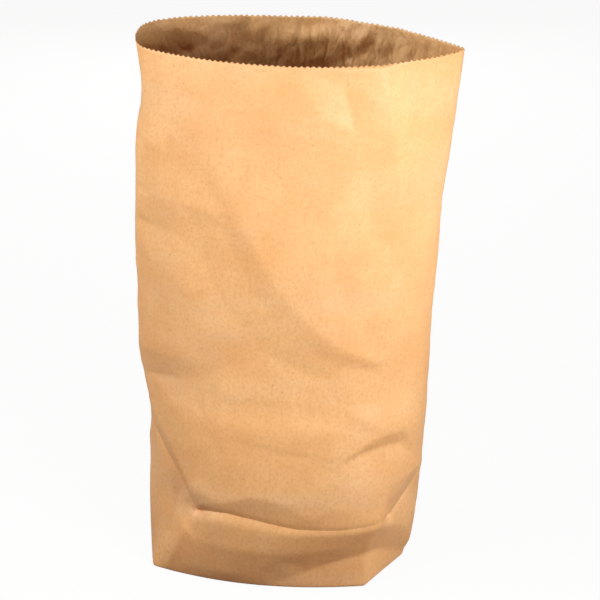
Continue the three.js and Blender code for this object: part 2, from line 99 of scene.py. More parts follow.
# Folds of the front panel, each a line of (around, up, proud) in mm. The paper is flat between
# neighbouring lines, so the lines are the net of its facets.
frontFolds = {
    "leftDiagonal": [(0, 236, -1), (30, 212, -3), (62, 186, -5), (103, 156, -5), (130, 132, -4.5),
                     (154, 104, -3)],
    "footCrease": [(154, 104, -4), (174, 113, 7), (200, 117, 12), (240, 113, 15), (274, 107, 16.5),
                   (298, 103, 17.5), (355, 100, 16.5), (385, 101, 15), (410, 101, 10.5), (434, 93, -3)],
    "rightDiagonal": [(434, 93, -3), (464, 113, -7), (491, 137, -4), (500, 146, 0)],
    "rollCrest": [(164, 102, 7), (182, 103, 13.5), (206, 104, 16), (245, 99, 18.5), (274, 96, 19.5),
                  (298, 97, 19.5), (355, 94, 16.5), (385, 94, 15), (418, 91, 8)],
    "rollFace": [(152, 64, 9), (178, 66, 12), (220, 66, 17.5), (270, 64, 18.5), (300, 62, 15),
                 (355, 68, 9), (390, 70, 3)],
    "rollBelly": [(146, 40, 7), (172, 42, 9), (220, 42, 14), (266, 40, 12.5), (300, 40, 6)],
    "rollTuck": [(138, 18, 3.5), (170, 20, 6), (220, 20, 9), (262, 20, 6)],
    "leftCorner": [(154, 98, 2), (146, 78, 7.5), (138, 56, 8), (130, 30, 6), (122, 6, 1.5)],
    "leftChamfer": [(116, 120, -8), (108, 60, -5), (100, 8, 0)],
    "leftTriangle": [(15, 150, -1), (60, 76, 3), (80, 6, 1)],
    "hemValley": [(262, 2, 0), (300, 20, 1), (335, 34, -2), (370, 44, -4), (400, 48, -7),
                  (430, 42, -8), (460, 30, -6), (497, 9, -1)],
    "rightTriangle": [(446, 74, 1), (472, 62, 3), (497, 27, 3)],
    "hem": [(130, 0, 0), (340, 0, -1), (400, 0, -1), (450, 0, -1), (500, 0, 0)],
    "leftFlank": [(10, 264, 0), (50, 236, 2.5), (92, 202, 4.5), (125, 164, 6.5), (142, 140, 8),
                  (158, 118, 7)],
    "middleFlank": [(166, 124, 10), (190, 134, 15), (226, 150, 19), (255, 148, 19.5), (280, 140, 19),
                    (304, 120, 18.5)],
    "slackMiddle": [(150, 205, 7), (226, 212, 9), (290, 206, 8)],
    "slackTop": [(175, 262, 3.5), (226, 262, 4.5), (300, 258, 3), (350, 250, 2.5)],
    "slackStart": [(185, 288, 4), (226, 288, 5), (270, 286, 4.5), (300, 283, 4), (350, 276, 3.5)],
    "overCrease": [(330, 126, 17), (370, 128, 14), (410, 125, 7)],
    "rightFlank": [(430, 116, 0), (452, 157, 4), (478, 152, 3)],
    "arrowRidge": [(343, 206, 8), (380, 221, 6.5), (402, 230, 6), (436, 229, 5), (447, 211, 3)],
    "arrowValley": [(346, 198, 7.5), (372, 206, 0), (402, 209, -3), (434, 206, -2), (452, 185, 0),
                    (470, 167, 1)],
    "arrowFacet": [(343, 178, 10.5), (345, 152, 13.5), (385, 150, 10), (425, 148, 3)],
    "stepValley": [(24, 272, -2), (60, 281, -3), (110, 293, -2), (165, 301, 0)],
    "stepRidge": [(-10, 300, 1), (10, 304, 2), (70, 322, 3), (130, 326, 1), (180, 320, 0)],
    "stepShelf": [(0, 270, -1), (30, 258, 0), (80, 250, 2.5), (150, 256, 1.5)],
    "highValley": [(40, 503, -1), (75, 504, -2.5), (120, 504, -1.5)],
    "highRidge": [(40, 552, 1), (100, 550, 2), (180, 548, 2)],
    "highShelf": [(40, 450, 1), (90, 455, 2), (130, 440, 1)],
    "longRidge": [(150, 642, 1), (180, 600, 3), (205, 556, 5), (222, 520, 7), (250, 468, 8), (270, 438, 8),
                  (290, 414, 7), (312, 389, 6), (345, 359, 5), (388, 334, 2)],
    "longValley": [(160, 590, 1), (185, 540, 1), (200, 498, 1), (226, 446, 2), (248, 415, 2), (270, 390, 2),
                   (295, 365, 2), (330, 343, 1), (385, 324, -1)],
    "longFoot": [(150, 520, -2), (160, 470, -2), (190, 420, -1), (220, 380, -1), (260, 345, -1),
                 (320, 318, -1)],
    "longShoulder": [(300, 560, 1), (330, 500, 2), (350, 431, 1), (385, 371, 0)],
    "rightRidge": [(376, 748, 3), (386, 705, 6), (398, 662, 6), (410, 610, 6), (414, 520, 5), (438, 480, 4),
                   (418, 441, 4), (400, 396, 3)],
    "mouthDip": [(330, 725, -3), (338, 690, -4), (348, 660, -1)],
    "mouthRise": [(285, 715, 3), (300, 690, 3)],
    "mouthDent": [(408, 740, -3), (414, 705, -2), (420, 670, 0)],
    "leftEdge": [(58, 750, 4), (58, 690, 6), (64, 625, 6), (52, 585, 4), (46, 510, 3), (45, 421, 1)],
    "leftEnd": [(20, 750, -2), (36, 690, -5), (18, 630, 0), (22, 560, -1), (20, 480, 0)],
    "rightEdge": [(480, 750, 3), (478, 650, 3), (486, 600, 3), (492, 540, 0)],
    "rightFall": [(487, 500, 1), (466, 455, 3), (460, 426, 3), (452, 391, 2), (458, 292, 1)],
}
# where the panel keeps its plain curve
stillPaper = [
    [(-40, 0), (-40, 750)], [(540, 0), (540, 750)], [(-40, 0), (70, 0)], [(100, 750), (270, 750)],
    [(440, 750), (460, 750)], [(250, 640), (250, 600)], [(100, 640), (100, 600)], [(370, 600), (380, 520)],
    [(460, 620), (460, 520)], [(100, 380), (180, 380)], [(420, 330), (420, 290)],
]


def foldPath(name):
    return [(around, up) for around, up, proud in frontFolds[name]]


# creases pressed into the paper: points (around, up), how proud, reach of the slopes
paperCreases = [
    {"line": foldPath("leftDiagonal")[1:], "lift": -1.2, "reach": 7.0},
    {"line": foldPath("footCrease"), "lift": -1.4, "reach": 7.0},
    {"line": foldPath("rightDiagonal"), "lift": -1.5, "reach": 7.0},
    {"line": foldPath("leftCorner")[::2], "lift": 1.0, "reach": 5.0},
    {"line": [(330, 33), (370, 44), (400, 48), (430, 42), (460, 29), (497, 9)], "lift": -1.0, "reach": 7.0},
    {"line": [(346, 198), (290, 210), (240, 219), (205, 225)], "lift": -0.7, "reach": 5.0},
    {"line": foldPath("arrowValley")[:-1], "lift": -0.8, "reach": 6.0},
    {"line": [(30, 270), (60, 281), (110, 293)], "lift": -0.8, "reach": 7.0},
    {"line": [(500, 132), (600, 8)], "lift": 4.0, "reach": 34.0},  # soft folds over the rear corners
    {"line": [(1000, 160), (900, 8)], "lift": 4.0, "reach": 34.0},
]

# slight facets that handling leaves all over, stronger on the rear panel and most under its mouth
handling = {
    "facets": [
        {"spacing": 90.0, "front": 0.6, "rear": 2.2, "rearTop": 2.5, "seed": 11},
        {"spacing": 42.0, "front": 0.4, "rear": 1.8, "rearTop": 4.5, "seed": 23},
        {"spacing": 20.0, "front": 0.25, "rear": 0.8, "rearTop": 4.0, "seed": 5},
        {"spacing": 11.0, "front": 0.0, "rear": 0.2, "rearTop": 1.5, "seed": 31},
    ],
    "limit": 1.5,  # in deviations, so that there are no lone pits
    "topHeights": [500, 640],  # between these the rear turns to its top's share
    "endsFade": [40, 90],  # distances from the side ends over which the rear's share comes in
    "easeHeights": [0, 40, 715, 745],  # the foot and the mouth are stiffer
    "easeShares": [0, 1, 1, 0.35],
}

# how finely the wall and its relief are worked out, in mm or in counts
workSteps = {
    "panelPoints": 801,
    "bulgeHalvings": 40,
    "edgePoints": 60,
    "outlinePoints": 401,
    "level": 3.0,
    "place": 2.5,
    "relief": 2.0,
    "reliefMargin": 300.0,  # the relief runs past both ends of the turn
    "netSpacing": 14.0,
    "bend": 1.2,  # a bend in paper has a radius
    "tiny": 1e-6,
}


def gentleCurve(places, values, at):
    # passes through every value and swings past none
    places = np.asarray(places, float)
    values = np.asarray(values, float)
    rises = np.diff(values) / np.diff(places)
    slopes = np.concatenate([rises[:1], np.zeros(len(values) - 2), rises[-1:]])
    for i in range(1, len(values) - 1):
        if rises[i - 1] * rises[i] > 0:
            slopes[i] = 2 * rises[i - 1] * rises[i] / (rises[i - 1] + rises[i])
    at = min(max(at, places[0]), places[-1])
    i = int(np.clip(np.searchsorted(places, at) - 1, 0, len(rises) - 1))
    span = places[i + 1] - places[i]
    t = (at - places[i]) / span
    start = (1 + 2 * t) * (1 - t) ** 2 * values[i] + t * (1 - t) ** 2 * span * slopes[i]
    end = t * t * (3 - 2 * t) * values[i + 1] + t * t * (t - 1) * span * slopes[i + 1]
    return start + end


def runningLength(points):
    steps = np.hypot(*np.diff(points, axis=0).T)
    return np.concatenate([[0.0], np.cumsum(steps)])


panelSteps = -np.cos(np.linspace(0, math.pi, workSteps["panelPoints"]))


def panelLine(opened, side):
    # one panel at one height; it bulges until it is as long as the flat width
    names = ("frontLeft", "frontRight") if side < 0 else ("rearLeft", "rearRight")
    sharpness = np.where(panelSteps < 0, opened[names[0]], opened[names[1]])
    swell = np.clip(1 - np.abs(panelSteps) ** opened["fullness"], 0, 1) ** sharpness
    share = (panelSteps + 1) / 2
    width = sackForm["flatWidth"]
    x = (-opened["left"] + (opened["left"] + opened["right"]) * share) * width
    y = (opened["leftBack"] + (opened["rightBack"] - opened["leftBack"]) * share) * width
    low, high = 0.0, width
    for _ in range(workSteps["bulgeHalvings"]):
        bulge = (low + high) / 2
        length = runningLength(np.stack([x, y + side * bulge * swell], 1))[-1]
        low, high = (bulge, high) if length < width else (low, bulge)
    points = np.stack([x, y + side * bulge * swell], 1)
    return points, runningLength(points) / length * width


def bottomOutline(around):
    # two long edges and two side tips, corners softened, as long as the tube
    width = sackForm["flatWidth"]
    edge = (width - sackForm["bottomWidth"]) / 2
    half = sackForm["bottomWidth"] / 2 * sackForm["bottomDepth"]
    leftTip = (-edge - sackForm["leftTip"] * width, 0)
    rightTip = (edge + sackForm["rightTip"] * width, 0)
    corners = [leftTip, (-edge, -half), (edge, -half), rightTip, (edge, half), (-edge, half), leftTip]
    swells = [0, sackForm["frontSwell"] * width, 0, 0, sackForm["rearSwell"] * width, 0]
    t = np.linspace(0, 1, workSteps["edgePoints"], endpoint=False)[:, None]
    runs = []
    for start, end, swell in zip(corners, corners[1:], swells):
        start, end = np.array(start, float), np.array(end, float)
        push = np.array([0, np.sign(start[1]) * swell])
        runs.append(start + (end - start) * t + push * 4 * t * (1 - t))
    points = np.vstack(runs + [np.array([leftTip], float)])
    length = runningLength(points)
    length *= turnLength / length[-1]

    def rounded(places):
        weights = (1, 2, 3, 2, 1)
        middle = len(weights) // 2
        total = 0
        for i, weight in enumerate(weights):
            at = (places + (i - middle) * sackForm["cornerSoftness"] / 2) % turnLength
            total = total + weight * np.stack([np.interp(at, length, points[:, k]) for k in (0, 1)], -1)
        return total / sum(weights)

    whole = runningLength(rounded(np.linspace(0, turnLength, workSteps["outlinePoints"])))[-1]
    outline = rounded(around) * turnLength / whole
    yaw = math.radians(sackForm["bottomYaw"])
    turn = np.array([[math.cos(yaw), -math.sin(yaw)], [math.sin(yaw), math.cos(yaw)]])
    return outline @ turn.T + np.array(sackForm["bottomShift"]) * width


levelHeights = np.arange(0, sackForm["height"] + workSteps["level"], workSteps["level"])
placesRound = np.arange(0, turnLength + workSteps["place"] / 2, workSteps["place"])


def sectionTable():
    bottom = bottomOutline(placesRound)
    front = placesRound <= sackForm["flatWidth"]
    home = turnLength - placesRound
    holdStart, holdFade = sackForm["frontHold"]
    fromEnds = np.minimum(placesRound - holdStart, sackForm["flatWidth"] - placesRound)
    boxHold = np.clip(fromEnds / holdFade, 0, 1)
    rows = []
    for up in levelHeights:
        rise = up / sackForm["height"]
        opened = {k: gentleCurve(openedTo["rise"], openedTo[k], rise) for k in openedTo if k != "rise"}
        frontLine, frontRun = panelLine(opened, -1)
        rearLine, rearRun = panelLine(opened, 1)
        section = np.stack([
            np.where(front, np.interp(placesRound, frontRun, frontLine[:, k]),
                     np.interp(home, rearRun, rearLine[:, k])) for k in (0, 1)], -1)
        ends = 1 - (1 - min(up / sackForm["settleHeight"], 1)) ** 2
        slow = min(up / sackForm["frontSettle"], 1)
        settled = (ends + (slow * slow * (3 - 2 * slow) - ends) * boxHold)[:, None]
        rows.append(bottom * (1 - settled) + section * settled)
    return np.array(rows)


sections = sectionTable()
print("sections laid out:", len(sections))


def readTable(table, column, row):
    # values between the entries of a table
    column = np.clip(column, 0, table.shape[1] - 1 - workSteps["tiny"])
    row = np.clip(row, 0, table.shape[0] - 1 - workSteps["tiny"])
    left, under = column.astype(int), row.astype(int)
    across, over = column - left, row - under
    if table.ndim == 3:
        across, over = across[..., None], over[..., None]
    low = table[under, left] * (1 - across) + table[under, left + 1] * across
    high = table[under + 1, left] * (1 - across) + table[under + 1, left + 1] * across
    return low * (1 - over) + high * over


def wallAt(around, up):
    return readTable(sections, (around % turnLength) / workSteps["place"], up / workSteps["level"])


def outwardAt(around, up):
    reach = 3.0  # to each side of the place
    along = wallAt(around + reach, up) - wallAt(around - reach, up)
    along /= np.linalg.norm(along, axis=-1, keepdims=True)
    return np.stack([along[..., 1], -along[..., 0]], -1)


creaseLine = frontFolds["leftDiagonal"] + frontFolds["footCrease"][1:] + frontFolds["rightDiagonal"][1:]


def creaseUp(around):
    places = [p[0] for p in creaseLine] + [turnLength]
    heights = [p[1] for p in creaseLine] + [creaseLine[0][1]]
    return np.interp(around, places, heights)


def foldLift(around, up, fold):
    hollow = 1.3  # over 1, the slopes flatten towards their ends
    line = np.array(fold["line"], float)
    middle = line[:, 0].mean()
    x = (around - middle + turnLength / 2) % turnLength - turnLength / 2 + middle
    nearest = np.full(x.shape, np.inf)
    for start, end in zip(line, line[1:]):
        run = end - start
        t = np.clip(((x - start[0]) * run[0] + (up - start[1]) * run[1]) / (run @ run), 0, 1)
        away = np.hypot(x - start[0] - t * run[0], up - start[1] - t * run[1])
        nearest = np.minimum(nearest, away)
    return fold["lift"] * np.clip(1 - nearest / fold["reach"], 0, 1) ** hollow


reliefStep = workSteps["relief"]
reliefMargin = workSteps["reliefMargin"]
reliefAround = np.arange(-reliefMargin, turnLength + reliefMargin + 1, reliefStep)
reliefUp = np.arange(0, sackForm["height"] + reliefStep, reliefStep)


def covered(line, values):
    return slice(*np.searchsorted(line, [min(values), max(values) + workSteps["tiny"]]))


def facetTable(points, heights):
    # flat triangles through scattered heights, sampled on the relief table
    tiny = workSteps["tiny"]
    made = geometry.delaunay_2d_cdt([Vector(p) for p in points], [], [], 0, tiny, True)
    triangles, owners = made[2], made[3]
    owner = [ids[0] for ids in owners]
    table = np.zeros((len(reliefUp), len(reliefAround)))
    for corners in triangles:
        a, b, c = (points[owner[k]] for k in corners)
        ha, hb, hc = (heights[owner[k]] for k in corners)
        area = (b[1] - c[1]) * (a[0] - c[0]) + (c[0] - b[0]) * (a[1] - c[1])
        columns = covered(reliefAround, (a[0], b[0], c[0]))
        rows = covered(reliefUp, (a[1], b[1], c[1]))
        x, y = np.meshgrid(reliefAround[columns], reliefUp[rows])
        wa = ((b[1] - c[1]) * (x - c[0]) + (c[0] - b[0]) * (y - c[1])) / area
        wb = ((c[1] - a[1]) * (x - c[0]) + (a[0] - c[0]) * (y - c[1])) / area
        wc = 1 - wa - wb
        inside = (wa >= -tiny) & (wb >= -tiny) & (wc >= -tiny)
        table[rows, columns] = np.where(inside, wa * ha + wb * hb + wc * hc, table[rows, columns])
    return table


def softened(table):
    reach = workSteps["bend"]
    cells = int(round(3 * reach / reliefStep))  # three deviations of the bell curve
    weights = np.exp(-0.5 * (np.arange(-cells, cells + 1) * reliefStep / reach) ** 2)
    weights /= weights.sum()
    for axis in (0, 1):
        padding = [(cells, cells) if k == axis else (0, 0) for k in (0, 1)]
        padded = np.pad(table, padding, mode="edge")
        count = table.shape[axis]
        table = sum(w * padded.take(range(k, k + count), axis=axis) for k, w in enumerate(weights))
    return table


def frontTable():
    lines = list(frontFolds.values()) + [[(x, y, 0) for x, y in line] for line in stillPaper]
    found = {}
    for line in lines:
        for start, end in zip(line, line[1:]):
            start, end = np.array(start, float), np.array(end, float)
            count = max(1, math.ceil(np.hypot(*(end - start)[:2]) / workSteps["netSpacing"]))
            for k in range(count + 1):
                x, y, lift = start + (end - start) * k / count
                found.setdefault((round(x, 1), round(y, 1)), lift)  # of two lines, the first one counts
    return softened(facetTable(np.array(list(found)), np.array(list(found.values()))))


def handlingTable(facets):
    rng = np.random.default_rng(facets["seed"])
    spacing = facets["spacing"]
    height = sackForm["height"]
    count = int(turnLength * (height + 2 * spacing) / spacing ** 2)
    around = rng.uniform(0, turnLength, count)
    up = rng.uniform(-spacing, height + spacing, count)
    lifts = np.clip(rng.normal(0, 1, count), -handling["limit"], handling["limit"])
    inRear = np.minimum(around - sackForm["flatWidth"], turnLength - around)
    rear = np.interp(up, handling["topHeights"], [facets["rear"], facets["rearTop"]])
    lifts *= facets["front"] + (rear - facets["front"]) * np.interp(inRear, handling["endsFade"], [0, 1])
    turns = [np.column_stack([around + k * turnLength, up]) for k in (-1, 0, 1)]
    return softened(facetTable(np.vstack(turns), np.tile(lifts, len(turns))))


atEase = np.interp(reliefUp, handling["easeHeights"], handling["easeShares"])[:, None]
relief = frontTable() + sum(handlingTable(facets) for facets in handling["facets"]) * atEase
print("relief worked out, mm:", round(relief.min(), 1), round(relief.max(), 1))


def reliefAt(around, up):
    # the front net is drawn round the left end, so the last stretch of the turn reads from below zero
    place = np.where(around > backMiddle, around - turnLength, around)
    return readTable(relief, (place + reliefMargin) / reliefStep, up / reliefStep)


# rows of the sheet from the middle of the bottom to the mouth
sheetRows = {
    "bottom": 7,
    "bottomStep": 12.0,  # paper between two rows under the bottom
    "foot": 5,
    "shelf": 20,  # from the foot to the crease
    "body": 134,
    "crowding": 1.1,  # over 1, the body's rows lie closer over the crease
    "mouthBand": 5.0,
    "seamStep": 0.1,  # width of the step at the lap's free edge
    "sharpFrom": 45.0,  # the crease is a sharp fold between these places
    "sharpTo": 470.0,
}


def sheetGrid():
    half = turnLength / sackForm["toothCount"] / 2
    around = np.arange(2 * sackForm["toothCount"]) * half
    seam = int(round((backMiddle - sackForm["seamLap"] / 2) / half))
    around = np.insert(around, seam + 1, around[seam] + sheetRows["seamStep"])
    base = sackForm["paper"]
    roll = sackForm["footRoll"]
    rows = []
    insets = []
    for k in range(sheetRows["foot"] + 1):
        angle = k / sheetRows["foot"] * math.pi / 2
        rows.append(np.full(len(around), base + roll * (1 - math.cos(angle))))
        insets.append(roll * (1 - math.sin(angle)))
    crease = creaseUp(around)
    for k in range(1, sheetRows["shelf"] + 1):
        rows.append(base + roll + (crease - base - roll) * k / sheetRows["shelf"])
    top = sackForm["height"] - sheetRows["mouthBand"]
    for k in range(1, sheetRows["body"] + 1):
        rows.append(crease + (top - crease) * (k / sheetRows["body"]) ** sheetRows["crowding"])
    rows.append(np.full(len(around), sackForm["height"]))
    insets += [0.0] * (len(rows) - len(insets))
    up = np.array(rows)
    return np.broadcast_to(around, up.shape).copy(), up, np.array(insets)[:, None], seam


def seamLift(around, up, seamEdge):
    past = around - seamEdge
    lapped = np.clip((sackForm["seamLap"] + sackForm["seamFade"] - past) / sackForm["seamFade"], 0, 1)
    lifted = sackForm["paper"] * lapped * (past > sheetRows["seamStep"] / 2)
    return lifted * np.clip(up / sackForm["seamRise"], 0, 1)


def sheetPoints(around, up, inset, seamEdge):
    lift = reliefAt(around, up) - inset
    for crease in paperCreases:
        lift = lift + foldLift(around, up, crease)
    lift = lift + seamLift(around, up, seamEdge)
    place = wallAt(around, up) + outwardAt(around, up) * lift[..., None]
    return np.concatenate([place, up[..., None]], -1)


gridAround, gridUp, gridInset, seamColumn = sheetGrid()
seamEdge = gridAround[0, seamColumn]
sheet = sheetPoints(gridAround, gridUp, gridInset, seamEdge)
# the sack stands with the middle of its box over the origin
sheetMiddle = (sheet.reshape(-1, 3).min(0) + sheet.reshape(-1, 3).max(0))[:2] / 2
boxShift = np.array([cadLow.x + cadHigh.x, cadLow.y + cadHigh.y]) / 2 / mm - sheetMiddle
sheet[..., :2] += boxShift


def layOutPaper(mesh, turn, height):
    # the paper's own places as a map: metres from the pasted edge and up the sheet
    loops = np.empty(len(mesh.loops), int)
    mesh.loops.foreach_get("vertex_index", loops)
    u = (turn[loops] - seamEdge - sheetRows["seamStep"] / 2) % turnLength
    starts = np.empty(len(mesh.polygons), int)
    mesh.polygons.foreach_get("loop_start", starts)
    mostCorners = 4
    for k in range(mostCorners):  # a face over the pasted edge stays whole
        at = np.minimum(starts + k, len(loops) - 1)
        u[at] = np.where(u[at] < u[starts] - turnLength / 2, u[at] + turnLength, u[at])
        u[at] = np.where(u[at] > u[starts] + turnLength / 2, u[at] - turnLength, u[at])
    layer = mesh.uv_layers.new(name="paperPlace")
    layer.data.foreach_set("uv", np.stack([u, height[loops]], 1).ravel() * mm)


def pointValue(mesh, name, values):
    mesh.attributes.new(name, "FLOAT", "POINT").data.foreach_set("value", values)


def markSharp(mesh, columnCount):
    # the valley crease and the two sides of the lap's step are sharp
    edges = np.empty(2 * len(mesh.edges), int)
    mesh.edges.foreach_get("vertices", edges)
    edges = edges.reshape(-1, 2)
    rowOf, columnOf = edges // columnCount, edges % columnCount
    placeOf = gridAround[0][columnOf]
    creaseRow = sheetRows["bottom"] + sheetRows["foot"] + sheetRows["shelf"]
    between = (placeOf > sheetRows["sharpFrom"]) & (placeOf < sheetRows["sharpTo"])
    sharp = (rowOf == creaseRow).all(1) & between.all(1)
    upright = (columnOf[:, 0] == columnOf[:, 1]) & (rowOf >= sheetRows["bottom"]).all(1)
    sharp |= upright & np.isin(columnOf[:, 0], (seamColumn, seamColumn + 1))
    mesh.edges.foreach_set("use_edge_sharp", sharp)


def sackSheet():
    ringCount = sheetRows["bottom"]
    middle = sheet[0].mean(0)
    rings = [sheet[0] + (middle - sheet[0]) * k / (ringCount + 1) for k in range(ringCount, 0, -1)]
    allRows = np.array(rings + list(sheet))
    rowTotal, columnCount = allRows.shape[:2]
    verts = np.vstack([allRows.reshape(-1, 3), middle[None]])
    hub = len(verts) - 1
    i = np.arange(columnCount)
    j = (i + 1) % columnCount
    quads = []
    for row in range(rowTotal - 1):
        low, high = row * columnCount, (row + 1) * columnCount
        quads.append(np.stack([low + i, low + j, high + j, high + i], 1))
    faces = np.vstack(quads).tolist() + [(hub, int(b), int(a)) for a, b in zip(i, j)]
    mesh = bpy.data.meshes.new("sackPaper")
    mesh.from_pydata((verts * mm).tolist(), [], faces)
    mesh.update()
    turn = np.concatenate([np.tile(gridAround[0], rowTotal), [0.0]])
    under = np.repeat(np.arange(-ringCount, 0) * sheetRows["bottomStep"], columnCount)
    layOutPaper(mesh, turn, np.concatenate([under, gridUp.ravel(), [-sackForm["bottomWidth"] / 2]]))
    mouth = np.zeros(len(verts))
    mouth[hub - columnCount:hub] = 1
    pointValue(mesh, "turn", turn / turnLength)
    pointValue(mesh, "atMouth", mouth)
    mesh.polygons.foreach_set("use_smooth", np.ones(len(mesh.polygons), bool))
    markSharp(mesh, columnCount)
    piece = bpy.data.objects.new("sackPaper", mesh)
    bpy.context.collection.objects.link(piece)
    return piece


def addNode(tree, kind, **settings):
    node = tree.nodes.new(kind)
    for name, value in settings.items():
        setattr(node, name, value)
    return node


def mathNode(tree, operation, first, second=None):
    node = addNode(tree, "ShaderNodeMath", operation=operation)
    for socket, value in zip(node.inputs, (first, second)):
        if isinstance(value, (int, float)):
            socket.default_value = value
        elif value is not None:
            tree.links.new(value, socket)
    return node.outputs[0]


# kraft paper, colours as linear values, patterns in turns per metre of paper
fibrePattern = {"scale": (900, 260), "detail": 3, "roughness": 0.65}
kraft = {
    "light": (0.885, 0.52, 0.23, 1),
    "deep": (0.835, 0.445, 0.18, 1),
    "fibre": (0.62, 0.3, 0.11, 1),
    # pale patches at random places: partly wear, partly painted sheen
    "wearAndSheen": (0.845, 0.575, 0.345, 1),
    "speck": (0.2, 0.1, 0.04, 1),
    "innerShadeTint": (0.98, 1.05, 1.08, 1),  # multiplies the stock: painted shade tone, so the inner ply is greyer like the shaded inside
    "roughness": 0.5,
    "specular": 0.4,
    "stock": {"scale": (14, 11), "detail": 4, "roughness": 0.6, "from": 0.3, "to": 0.66},
    "cloud": {"scale": (70, 50), "detail": 5, "roughness": 0.7,
              "from": 0.42, "to": 0.7, "amount": 0.6},
    "machineLines": {"scale": (330, 2.5), "detail": 2, "roughness": 0.5,
                     "from": 0.45, "to": 0.75, "amount": 0.3},
    "wearAndSheenPatches": {"scale": (6, 11), "detail": 5, "roughness": 0.6,
                    "from": 0.5, "to": 0.75, "amount": 0.35},
    "fibres": {**fibrePattern, "from": 0.5, "to": 0.8, "amount": 0.2},
    "mottle": {"scale": (240, 180), "detail": 4, "roughness": 0.7,
               "from": 0.45, "to": 0.75, "amount": 0.46},
    "innerGrain": {"scale": (240, 170), "detail": 6, "roughness": 0.8,
                   "from": 0.42, "to": 0.72, "amount": 0.6},
    "specks": {"scale": 75.0, "rarity": 0.965, "rim": 0.07, "heart": 0.03, "amount": 0.6},
    "bumps": {"scale": (90, 70), "detail": 5, "roughness": 0.7, "share": 3.0},
    "innerWrinkles": {"scale": (34, 17), "detail": 3, "roughness": 0.5, "share": 90.0},
    "bumpStrength": 0.35,
    "bumpHeight": 0.4 * mm,
}


def kraftPaper():
    material = bpy.data.materials.new("kraftPaper")
    material.use_nodes = True
    tree = material.node_tree
    tree.nodes.clear()
    out = addNode(tree, "ShaderNodeOutputMaterial")
    shader = addNode(tree, "ShaderNodeBsdfPrincipled")
    tree.links.new(shader.outputs["BSDF"], out.inputs["Surface"])
    shader.inputs["Roughness"].default_value = kraft["roughness"]
    shader.inputs["Specular IOR Level"].default_value = kraft["specular"]
    place = addNode(tree, "ShaderNodeUVMap", uv_map="paperPlace").outputs["UV"]
    innerPly = addNode(tree, "ShaderNodeAttribute", attribute_name="innerPly").outputs["Fac"]

    def noise(pattern):
        mapping = addNode(tree, "ShaderNodeMapping")
        mapping.inputs["Scale"].default_value = (*pattern["scale"], 1)
        tree.links.new(place, mapping.inputs["Vector"])
        node = addNode(tree, "ShaderNodeTexNoise", noise_dimensions="2D")
        node.inputs["Scale"].default_value = 1.0
        node.inputs["Detail"].default_value = pattern["detail"]
        node.inputs["Roughness"].default_value = pattern["roughness"]
        tree.links.new(mapping.outputs["Vector"], node.inputs["Vector"])
        return node.outputs["Fac"]

    def ramped(value, low, high):
        node = addNode(tree, "ShaderNodeMapRange", clamp=True)
        node.inputs["From Min"].default_value = low
        node.inputs["From Max"].default_value = high
        tree.links.new(value, node.inputs["Value"])
        return node.outputs["Result"]

    def patches(pattern):
        return ramped(noise(pattern), pattern["from"], pattern["to"])

    def times(first, second):
        return mathNode(tree, "MULTIPLY", first, second)

    def mixed(first, second, share, blend="MIX"):
        node = addNode(tree, "ShaderNodeMix", data_type="RGBA", blend_type=blend)
        tree.links.new(share, node.inputs[0])
        for socket, value in ((node.inputs[6], first), (node.inputs[7], second)):  # its colour sockets
            if isinstance(value, tuple):
                socket.default_value = value
            else:
                tree.links.new(value, socket)
        return node.outputs[2]

    colour = mixed(kraft["deep"], kraft["light"], patches(kraft["stock"]))
    # the pale patches are partly wear and partly painted sheen
    touches = (("cloud", "deep"), ("machineLines", "deep"), ("wearAndSheenPatches", "wearAndSheen"), ("fibres", "fibre"),
               ("mottle", "fibre"))
    for name, tint in touches:
        colour = mixed(colour, kraft[tint], times(patches(kraft[name]), kraft[name]["amount"]))

    specks = kraft["specks"]
    cells = addNode(tree, "ShaderNodeTexVoronoi", voronoi_dimensions="2D")
    cells.inputs["Scale"].default_value = specks["scale"]
    tree.links.new(place, cells.inputs["Vector"])
    split = addNode(tree, "ShaderNodeSeparateColor")
    tree.links.new(cells.outputs["Color"], split.inputs["Color"])
    rare = mathNode(tree, "GREATER_THAN", split.outputs[0], specks["rarity"])
    small = ramped(cells.outputs["Distance"], specks["rim"], specks["heart"])
    colour = mixed(colour, kraft["speck"], times(times(rare, small), specks["amount"]))

    grain = times(patches(kraft["innerGrain"]), innerPly)
    colour = mixed(colour, kraft["fibre"], times(grain, kraft["innerGrain"]["amount"]))
    # painted shade tone: the inner ply's colour is tinted greyer, like the shaded inside
    colour = mixed(colour, kraft["innerShadeTint"], innerPly, "MULTIPLY")
    tree.links.new(colour, shader.inputs["Base Color"])

    height = times(noise(kraft["bumps"]), kraft["bumps"]["share"])
    height = mathNode(tree, "ADD", noise(fibrePattern), height)
    # the inner ply's creases run where the noise passes its middle
    fromMiddle = mathNode(tree, "SUBTRACT", noise(kraft["innerWrinkles"]), 0.5)
    wrinkles = times(mathNode(tree, "ABSOLUTE", fromMiddle), innerPly)
    height = mathNode(tree, "ADD", height, times(wrinkles, kraft["innerWrinkles"]["share"]))
    bump = addNode(tree, "ShaderNodeBump")
    bump.inputs["Strength"].default_value = kraft["bumpStrength"]
    bump.inputs["Distance"].default_value = kraft["bumpHeight"]
    tree.links.new(height, bump.inputs["Height"])
    tree.links.new(bump.outputs["Normal"], shader.inputs["Normal"])
    return material


